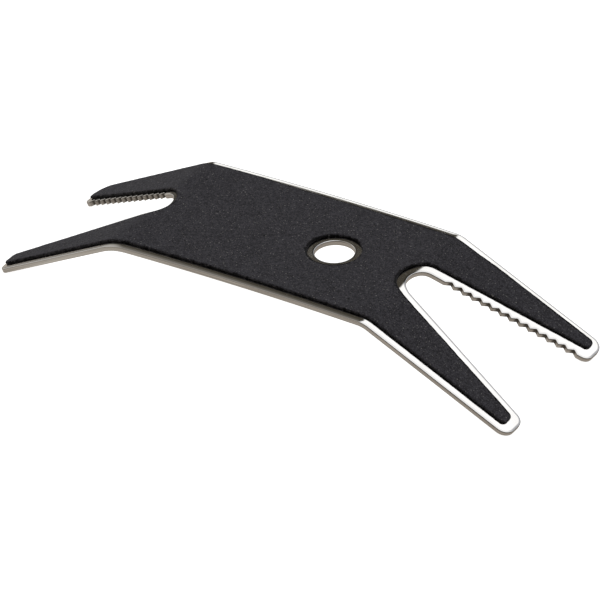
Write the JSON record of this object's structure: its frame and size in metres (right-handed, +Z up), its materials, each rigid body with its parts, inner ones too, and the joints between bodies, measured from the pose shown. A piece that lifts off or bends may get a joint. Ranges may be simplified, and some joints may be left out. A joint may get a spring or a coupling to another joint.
{
  "type": "jaw wrench",
  "caption": "Flat steel wrench with bent-down ends, a toothed V jaw in each, a round hole in its body and a black suede pad on its upper face.",
  "frame": {"origin": "centre of the bounding box on the ground that the prong tips stand on", "axes": "+X along the tool towards its longer jaw, +Y across it towards the toothed edges, +Z up, out of the padded face"},
  "size_m": [0.126, 0.0384, 0.0189],
  "materials": {
    "polished_steel": "polished",
    "adhesive": "matte",
    "black_suede": "napped"
  },
  "bodies": {
    "root": {"steel_plate": "polished_steel", "adhesive_film": "adhesive", "suede_pad": "black_suede"}
  },
  "joints": []
}
